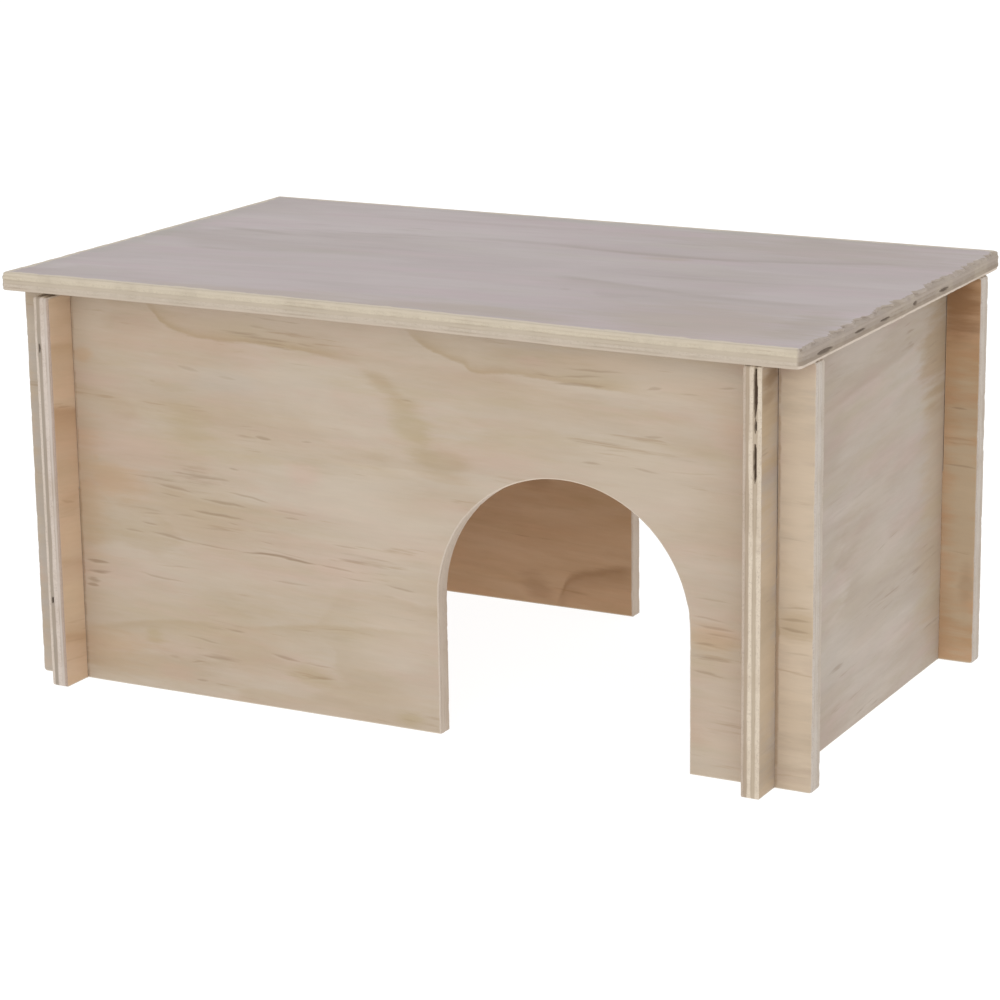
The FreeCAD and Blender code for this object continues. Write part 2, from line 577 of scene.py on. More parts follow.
def edgeMaterial(name, order, look):
    # the sawn edge, where the plies show
    material, tree, shader = newMaterial(name)
    board = boardVector(tree, order, 1.0)
    layer, endShare, hollow, glueLine, fit = (
        surfaceMark(tree, mark) for mark in ("plyLayer", "endShare", "hollow", "glueLine", "fit"))
    grain = useGroup(tree, plyGroup, board=board, plyLayer=layer, endShare=endShare, seed=look["seed"])
    place = calc(tree, "DIVIDE", layer, len(look["endTones"]) - 1)
    colour = mixColour(tree, ease(tree, endShare, 0.3, 0.7), toneRamp(tree, place, look["sideTones"]),
                       toneRamp(tree, place, look["endTones"]))
    colour = brighten(tree, colour, ease(tree, grain["streak"], 0.25, 0.75, *look["streakRange"]))
    colour = tinted(tree, colour, look["stain"], grain["stain"], look["stainShare"])
    colour = tinted(tree, colour, look["pore"], grain["pores"], look["poreShare"])
    colour = tinted(tree, colour, look["glue"], glueLine, look["glueShare"])
    along = splitVector(tree, board)["X"]
    # painted light: a paler tone along parts of the edge, such as the door's arch and jambs, which lie in
    # shade inside the doorway
    for tint, low, high, share in look.get("paintedLightSpans", ()):
        inside = times(tree, ease(tree, along, (low - 1) * mm, low * mm),
                       ease(tree, along, high * mm, (high + 1) * mm, 1.0, 0.0))
        colour = tinted(tree, colour, tint, inside, share)
    # the gaps between veneer strips are cut into the edge, and a dark tone is painted into them as shade as
    # well
    colour = mixColour(tree, hollow, colour, look["hollow"])
    # painted shade: the sawn edge inside the joints is darkened to a brown, for the thin gap between the
    # boards
    colour = tinted(tree, colour, look["jointShadeTone"], fit, look["jointShadeShare"])
    roughness = plus(tree, look["rough"], times(tree, grain["pores"], look["poreRough"]))
    relief = minus(tree, grain["streak"], times(tree, grain["pores"], look["poreDepth"]))
    finishSurface(tree, shader, colour, roughness, relief, look)
    return material


# the plywood board tree

plyEdge = {
    "mergeDistance": 0.001 * mm,
    "gapRagged": 0.35 * mm,       # how far the outline of a gap wanders
    "gapRim": (0.02 * mm, 0.22 * mm),
    # shares of the board's thickness
    "borderBlur": 0.018,          # between two plies
    "glueLine": (0.005, 0.055),   # fades out from a ply's border
    "chipLedge": (0.13, 0.21),    # a torn flake ends at the face ply's depth
    "tearLevel": 0.66,            # of the noise, above which a flake is torn out altogether
    # scale, detail and roughness of each noise
    "borderNoise": (38.0, 3.0, 0.55),
    "glueNoise": (60.0, 3.0, 0.6),
    "plyNoise": (55.0, 2.0),
    "frayNoise": (800.0, 3.0, 0.6),
    "gapNoise": (900.0, 2.0),
}


def plywoodTree():
    # a flat outline becomes a board with five plies on its sawn edge
    inputs = ["Geometry:Geometry", "Thickness", "Rings:Int", "Border 1", "Border 2", "Border 3", "Border 4",
              "Border Wander", "Arris", "Ply Step", "Fray", "Groove", "Top Chips", "Bottom Chips",
              "Chip Length", "Chip Share", "Gap Shapes:Object", "Gap Depth", "Seed",
              "Top Material:Material", "Bottom Material:Material", "Edge Material:Material"]
    tree, given, out = newTree("plywoodBoard", "GeometryNodeTree", inputs, ["Geometry:Geometry"])

    # stack thin slices of the flat outline up to the board's thickness
    repeatIn = tree.nodes.new("GeometryNodeRepeatInput")
    repeatOut = tree.nodes.new("GeometryNodeRepeatOutput")
    repeatIn.pair_with_output(repeatOut)
    repeatOut.repeat_items.new("BOOLEAN", "Lid")
    feed(tree, given["Rings"], repeatIn.inputs["Iterations"])
    feed(tree, given["Geometry"], repeatIn.inputs["Geometry"])
    repeatIn.inputs["Lid"].default_value = True
    extrude = addNode(tree, "GeometryNodeExtrudeMesh", {
        "Mesh": repeatIn.outputs["Geometry"], "Selection": repeatIn.outputs["Lid"],
        "Offset": (0.0, 0.0, 1.0), "Offset Scale": calc(tree, "DIVIDE", given["Thickness"], given["Rings"]),
        "Individual": False})
    feed(tree, extrude.outputs["Mesh"], repeatOut.inputs["Geometry"])
    feed(tree, extrude.outputs["Top"], repeatOut.inputs["Lid"])
    underside = addNode(tree, "GeometryNodeFlipFaces", {"Mesh": given["Geometry"]})
    both = tree.nodes.new("GeometryNodeJoinGeometry")
    tree.links.new(repeatOut.outputs["Geometry"], both.inputs[0])
    tree.links.new(underside.outputs[0], both.inputs[0])
    closed = addNode(tree, "GeometryNodeMergeByDistance",
                     {"Geometry": both.outputs[0], "Distance": plyEdge["mergeDistance"]})

    def kept(name, kind="FLOAT"):
        return addNode(tree, "GeometryNodeInputNamedAttribute", {"Name": name}, data_type=kind).outputs[0]

    def keep(geometry, name, value, domain="POINT"):
        inputs = {"Geometry": geometry, "Name": name, "Value": value}
        return addNode(tree, "GeometryNodeStoreNamedAttribute", inputs,
                       data_type="FLOAT", domain=domain).outputs[0]

    position = tree.nodes.new("GeometryNodeInputPosition").outputs[0]
    place = calc(tree, "DIVIDE", splitVector(tree, position)["Z"], given["Thickness"])
    outward = kept("outward", "FLOAT_VECTOR")
    endShare = calc(tree, "ABSOLUTE", splitVector(tree, vectorCalc(tree, "NORMALIZE", outward))["X"])
    normal = tree.nodes.new("GeometryNodeInputNormal").outputs[0]
    facing = splitVector(tree, normal)["Z"]

    # ply borders wander up and down a little along the edge
    plySteps = []
    borderGaps = []
    for index in range(1, 5):
        wander = noise(tree, position, *plyEdge["borderNoise"], w=plus(tree, given["Seed"], index * 5.3))
        wander = times(tree, minus(tree, wander, 0.5), given["Border Wander"])
        past = minus(tree, plus(tree, place, wander), given["Border %d" % index])
        plySteps.append(ease(tree, past, -plyEdge["borderBlur"], plyEdge["borderBlur"]))
        borderGaps.append(calc(tree, "ABSOLUTE", past))
    layer = total(tree, plySteps)
    toBorder = total(tree, borderGaps, "MINIMUM")
    patchy = noise(tree, position, *plyEdge["glueNoise"], w=plus(tree, given["Seed"], 41.0))
    patchy = ease(tree, patchy, 0.40, 0.62)
    glueLine = times(tree, ease(tree, toBorder, *plyEdge["glueLine"], 1.0, 0.0), patchy)

    # how far each point of the edge is cut back
    isCross = calc(tree, "PINGPONG", layer, 1.0)
    endGrain = plus(tree, times(tree, isCross, minus(tree, 1.0, endShare)),
                    times(tree, minus(tree, 1.0, isCross), endShare))
    layerSeed = plus(tree, given["Seed"], times(tree, layer, 4.7))
    plyCut = times(tree, noise(tree, position, *plyEdge["plyNoise"], w=layerSeed), given["Ply Step"])
    roughness = noise(tree, position, *plyEdge["frayNoise"], w=given["Seed"])
    frayCut = total(tree, [roughness, given["Fray"], plus(tree, times(tree, endGrain, 0.8), 0.2)],
                    "MULTIPLY")
    grooveCut = times(tree, glueLine, given["Groove"])

    # rounded arris, crisper inside the joints
    toFace = calc(tree, "MINIMUM", place, minus(tree, 1.0, place))
    softness = minus(tree, 1.0, times(tree, kept("fit"), 0.7))
    arris = times(tree, given["Arris"], softness)
    depth = times(tree, toFace, given["Thickness"])
    slope = calc(tree, "SUBTRACT", 1.0, calc(tree, "DIVIDE", depth, arris), clamp=True)
    sweep = calc(tree, "SQRT", minus(tree, 1.0, times(tree, slope, slope)))
    arrisCut = times(tree, minus(tree, 1.0, sweep), arris)

    # flakes torn out of the face plies, where they are cut across their grain
    isTop = calc(tree, "GREATER_THAN", place, 0.5)
    chips = plus(tree, times(tree, given["Top Chips"], isTop),
                 times(tree, given["Bottom Chips"], minus(tree, 1.0, isTop)))
    chipSeed = total(tree, [given["Seed"], times(tree, isTop, 9.0), 31.0])
    tear = noise(tree, vectorCalc(tree, "MULTIPLY", position, (0.4, 1.0, 0.8)),
                 calc(tree, "DIVIDE", 1.0, given["Chip Length"]), 3.0, 0.6, w=chipSeed)
    tear = ease(tree, tear, minus(tree, plyEdge["tearLevel"], given["Chip Share"]), plyEdge["tearLevel"])
    ledge = plus(tree, toFace, times(tree, minus(tree, roughness, 0.5), 0.10))
    inFacePly = ease(tree, ledge, *plyEdge["chipLedge"], 1.0, 0.0)
    reach = plus(tree, times(tree, endShare, 0.8), 0.2)
    chipCut = total(tree, [tear, inFacePly, reach, chips, kept("wear")], "MULTIPLY")
    inJoint = minus(tree, 1.0, times(tree, kept("fit"), 0.85))

    # gaps between the veneer strips of the inner plies
    shapes = addNode(tree, "GeometryNodeObjectInfo", {"Object": given["Gap Shapes"]})
    near = addNode(tree, "GeometryNodeProximity", {"Geometry": shapes.outputs["Geometry"]},
                   target_element="FACES")
    ragged = noise(tree, position, *plyEdge["gapNoise"])
    ragged = times(tree, minus(tree, ragged, 0.5), plyEdge["gapRagged"])
    hollow = ease(tree, plus(tree, near.outputs["Distance"], ragged), *plyEdge["gapRim"], 1.0, 0.0)
    hollow = times(tree, hollow, near.outputs["Is Valid"])
    gapCut = times(tree, hollow, given["Gap Depth"])

    geometry = closed.outputs[0]
    marks = {"plyLayer": layer, "endShare": endShare, "glueLine": glueLine, "hollow": hollow}
    for name, value in marks.items():
        geometry = keep(geometry, name, value)
    geometry = keep(geometry, "facing", facing, "FACE")

    rough = times(tree, total(tree, [plyCut, frayCut, grooveCut, chipCut]), inJoint)
    cut = total(tree, [rough, arrisCut, gapCut])
    back = scaled(tree, outward, times(tree, cut, -1.0))
    moved = vectorCalc(tree, "ADD", back, joinVector(tree, 0.0, 0.0, kept("lift")))
    worn = addNode(tree, "GeometryNodeSetPosition", {"Geometry": geometry, "Offset": moved})

    real = addNode(tree, "GeometryNodeRealizeInstances", {"Geometry": worn.outputs[0]}).outputs[0]
    coats = {"Edge Material": True,
             "Top Material": calc(tree, "GREATER_THAN", kept("facing"), 0.5),
             "Bottom Material": calc(tree, "LESS_THAN", kept("facing"), -0.5)}
    for name, selection in coats.items():
        real = addNode(tree, "GeometryNodeSetMaterial",
                       {"Geometry": real, "Selection": selection, "Material": given[name]}).outputs[0]
    feed(tree, real, out["Geometry"])
    return tree


boardTree = plywoodTree()


# outlines

def traceOutline(corners, step):
    # corners: (u, v, radius) anticlockwise. Round corners become arcs, long sides get a point every step
    runs = []
    count = len(corners)
    for index in range(count):
        before, here, after = (Vector(corners[(index + k) % count][:2]) for k in (-1, 0, 1))
        radius = corners[index][2]
        arrive = (here - before).normalized()
        leave = (after - here).normalized()
        if radius == 0:
            runs.append([here])
            continue
        turn = math.atan2(arrive.cross(leave), arrive.dot(leave))
        start = here - arrive * radius * math.tan(abs(turn) / 2)
        centre = start + Vector((-arrive.y, arrive.x)) * math.copysign(radius, turn)
        spoke = start - centre
        pieces = max(2, math.ceil(radius * abs(turn) / step))
        runs.append([centre + Matrix.Rotation(turn * k / pieces, 2) @ spoke for k in range(pieces + 1)])
    points = []
    for index, run in enumerate(runs):
        points += run
        gap = runs[(index + 1) % count][0] - run[-1]
        pieces = math.ceil(gap.length / step)
        points += [run[-1] + gap * k / pieces for k in range(1, pieces)]
    return [p for k, p in enumerate(points) if (p - points[k - 1]).length > 1e-7]


def outwardDirections(points):
    # mitred directions, so that both sides of a corner move by the same amount
    result = []
    for index, here in enumerate(points):
        arrive = (here - points[index - 1]).normalized()
        leave = (points[(index + 1) % len(points)] - here).normalized()
        first = Vector((arrive.y, -arrive.x))
        second = Vector((leave.y, -leave.x))
        result.append((first + second) / (1 + first.dot(second)))
    return result


def cutCells(build, region, low, high, axis, cell):
    # cuts the faces of the region into strips across the axis
    count = round((high - low) / cell)
    for k in range(1, count):
        spot = [0, 0, 0]
        across = [0, 0, 0]
        spot[axis] = low + (high - low) * (k + 0.13) / count
        across[axis] = 1
        edges = {edge for face in region for edge in face.edges}
        verts = {vert for face in region for vert in face.verts}
        cut = bmesh.ops.bisect_plane(build, geom=list(verts) + list(edges) + region, dist=1e-7,
                                     plane_co=spot, plane_no=across)
        known = set(region)
        known.update(item for item in cut["geom"] if isinstance(item, bmesh.types.BMFace))
        region = [face for face in known if face.is_valid]
    return region


def flatBoard(name, corners, values):
    # the outline with a narrow rim, a field cut into cells, and what the tree has to know of each point
    points = traceOutline(corners, values["step"])
    outward = outwardDirections(points)
    rimWidth = values["rimWidth"]
    lowU, highU = min(p.x for p in points), max(p.x for p in points)
    lowV, highV = min(p.y for p in points), max(p.y for p in points)
    build = bmesh.new()
    outer = [build.verts.new((*p, 0)) for p in points]
    inner = []
    for p, direction in zip(points, outward):
        q = p - direction * rimWidth
        u = min(max(q.x, lowU + rimWidth), highU - rimWidth)
        v = min(max(q.y, lowV + rimWidth), highV - rimWidth)
        inner.append(build.verts.new((u, v, 0)))
    for k in range(len(points)):
        after = (k + 1) % len(points)
        build.faces.new((outer[k], outer[after], inner[after], inner[k]))
    build.faces.new(inner)
    bmesh.ops.remove_doubles(build, verts=inner, dist=1e-6)
    bmesh.ops.dissolve_degenerate(build, edges=build.edges[:], dist=1e-7)
    field = [max(build.faces, key=lambda face: len(face.verts))]
    field = cutCells(build, field, lowU, highU, 0, values["cell"])
    cutCells(build, field, lowV, highV, 1, values["cell"])

    onRim = {vert for edge in build.edges if len(edge.link_loops) == 1 for vert in edge.verts}
    away = dict(zip(outer, outward))
    vectors = []
    marks = {"rim": [], "fit": [], "lift": [], "wear": []}
    for vert in build.verts:
        u, v = vert.co.x, vert.co.y
        direction = away[vert] if vert in onRim else Vector((0, 0))
        vectors += [direction.x, direction.y, 0]
        wear = values["wear"](u, v) if values["wear"] else 1.0
        isTorn = values["wear"] and wear > 0.5
        inJoint = any(u0 < u < u1 and v0 < v < v1 for u0, v0, u1, v1 in values["joints"])
        marks["rim"].append(0.0 if vert not in onRim else 0.4 if isTorn else 1.0)
        marks["fit"].append(1.0 if inJoint else 0.0)
        marks["lift"].append(values["lift"](u, v) if values["lift"] else 0.0)
        marks["wear"].append(wear)
    mesh = bpy.data.meshes.new(name)
    build.to_mesh(mesh)
    build.free()
    mesh.attributes.new("outward", "FLOAT_VECTOR", "POINT").data.foreach_set("vector", vectors)
    for attribute, numbers in marks.items():
        mesh.attributes.new(attribute, "FLOAT", "POINT").data.foreach_set("value", numbers)
    return mesh


def gapMesh(name, gaps):
    # flat spindles on the board's edge. A gap is (start, end, width) with both points in board coordinates
    chance = random.Random(7)
    mesh = bpy.data.meshes.new(name)
    points = []
    faces = []
    pieces = 8
    for start, end, width in gaps:
        first = len(points)
        for side in (1, -1):
            for k in range(pieces + 1):
                share = k / pieces if side == 1 else 1 - k / pieces
                half = width / 2 * (0.08 + math.sin(math.pi * share) ** 0.6) * chance.uniform(0.75, 1.1)
                points.append(Vector(start).lerp(Vector(end), share) + Vector((0, 0, side * half)))
        faces.append(list(range(first, len(points))))
    mesh.from_pydata(points, [], faces)
    return addObject(name, mesh)


def makeBoard(name, corners, gaps, values, materials, axes, origin):
    # runs the board tree on the outline and sets the result in its place, as a plain mesh
    holder = addObject(name + "_flat", flatBoard(name + "_flat", corners, values))
    gapShapes = gapMesh(name + "_gaps", gaps)
    modifier = holder.modifiers.new("board", "NODES")
    modifier.node_group = boardTree
    settings = dict(values["tree"])
    settings.update(zip(("Top Material", "Bottom Material", "Edge Material"), materials))
    settings["Gap Shapes"] = gapShapes
    for item in boardTree.interface.items_tree:
        if item.item_type == "SOCKET" and item.in_out == "INPUT" and item.name in settings:
            modifier[item.identifier] = settings[item.name]
    evaluated = holder.evaluated_get(bpy.context.evaluated_depsgraph_get())
    mesh = bpy.data.meshes.new_from_object(evaluated)
    mesh.name = name
    bpy.data.objects.remove(holder)
    bpy.data.objects.remove(gapShapes)
    along, across = (Vector(axis) for axis in axes)
    turn = Matrix((along, across, along.cross(across))).transposed().to_4x4()
    mesh.transform(Matrix.Translation(origin) @ turn)
    return addPiece(name, mesh, values["sharpAngle"])


def addPiece(name, mesh, sharpAngle):
    # smooth, but for the edges that are sharper than the angle
    mesh.shade_smooth()
    mesh.set_sharp_from_angle(angle=math.radians(sharpAngle))
    print(name, "made,", sum(len(face.vertices) - 2 for face in mesh.polygons), "triangles")
    return addObject(name, mesh)


def finishPiece(piece, node, body):
    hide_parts(node)
    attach(piece, body)


# sizes that the boards share

joinery = {
    "slotPlay": 0.08 * mm,     # a tight push fit
    "jointMargin": (0.6 * mm, 0.4 * mm),     # the fit reaches so far around a slot, sideways and upwards
    "seatHeight": 61.25 * mm,
    "cornerRadius": 1.0 * mm,
    "doorWidth": 80.0 * mm,
    "doorSideHeight": 41.5 * mm,
    "doorEndMargin": 37.5 * mm,
}
frontLow, frontHigh = (Vector(corner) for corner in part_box("front_panel"))
backLow, backHigh = (Vector(corner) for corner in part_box("back_panel"))
leftLow, leftHigh = (Vector(corner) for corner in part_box("left_side_panel"))
rightLow, rightHigh = (Vector(corner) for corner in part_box("right_side_panel"))
roofLow, roofHigh = (Vector(corner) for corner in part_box("roof_panel"))
wallHeight = frontHigh.z
wallBoard = frontHigh.y - frontLow.y
roofBoard = roofHigh.z - roofLow.z

boardValues = {
    "step": 0.85 * mm,
    "cell": 14 * mm,
    "rimWidth": 0.8 * mm,
    "sharpAngle": 40,
    "joints": [],
    "lift": None,
    "wear": None,
    "tree": {
        "Thickness": wallBoard, "Rings": 26,
        "Border 1": 0.18, "Border 2": 0.36, "Border 3": 0.58, "Border 4": 0.79, "Border Wander": 0.14,
        "Arris": 0.35 * mm, "Ply Step": 0.10 * mm, "Fray": 0.10 * mm, "Groove": 0.12 * mm,
        "Top Chips": 0.16 * mm, "Bottom Chips": 0.16 * mm, "Chip Length": 3.5 * mm, "Chip Share": 0.16,
        "Gap Depth": 1.1 * mm, "Seed": 1.0,
    },
}


def changed(values, tree=None, **others):
    # the same board values with a few of them changed
    return {**values, **others, "tree": {**values["tree"], **(tree or {})}}


sawnLook = {
    "stain": tone(168, 148, 126), "stainShare": 0.30, "pore": tone(134, 116, 98), "poreShare": 0.35,
    # hollow is a dark tone painted as shade into the gaps between veneer strips
    "glue": tone(150, 131, 110), "glueShare": 0.45, "hollow": tone(88, 70, 56),
    # the joint tone is painted shade on the edge inside the joints
    "jointShadeTone": tone(176, 152, 124), "jointShadeShare": 0.35, "streakRange": (0.96, 1.03),
    "rough": 0.78, "poreRough": 0.12, "poreDepth": 0.8, "shine": 0.2, "bump": 0.45, "bumpDepth": 0.15 * mm,
    "sideTones": tones((202, 190, 174), (180, 165, 149), (218, 204, 186), (180, 165, 149), (202, 190, 174)),
}


# front and back walls

def longWallCorners():
    radius, top = joinery["cornerRadius"], wallHeight
    left, right = frontLow.x, frontHigh.x
    play, seat = joinery["slotPlay"], joinery["seatHeight"]
    doorRight = right - joinery["doorEndMargin"]
    doorLeft = doorRight - joinery["doorWidth"]
    arch = joinery["doorWidth"] / 2
    doorTop = joinery["doorSideHeight"] + arch
    corners = [(left, 0, radius), (doorLeft, 0, 0), (doorLeft, doorTop, arch), (doorRight, doorTop, arch),
               (doorRight, 0, 0), (right, 0, radius), (right, top, radius)]
    for low, high in ((rightLow.x, rightHigh.x), (leftLow.x, leftHigh.x)):
        corners += [(high + play, top, 0), (high + play, seat, 0),
                    (low - play, seat, 0), (low - play, top, 0)]
    return corners + [(left, top, radius)]


def slotBoxes(paintedLightSpans, lowV, highV):
    # where the outline lies inside a joint
    u, v = joinery["jointMargin"]
    return [(low - u, lowV - v, high + u, highV + v) for low, high in paintedLightSpans]


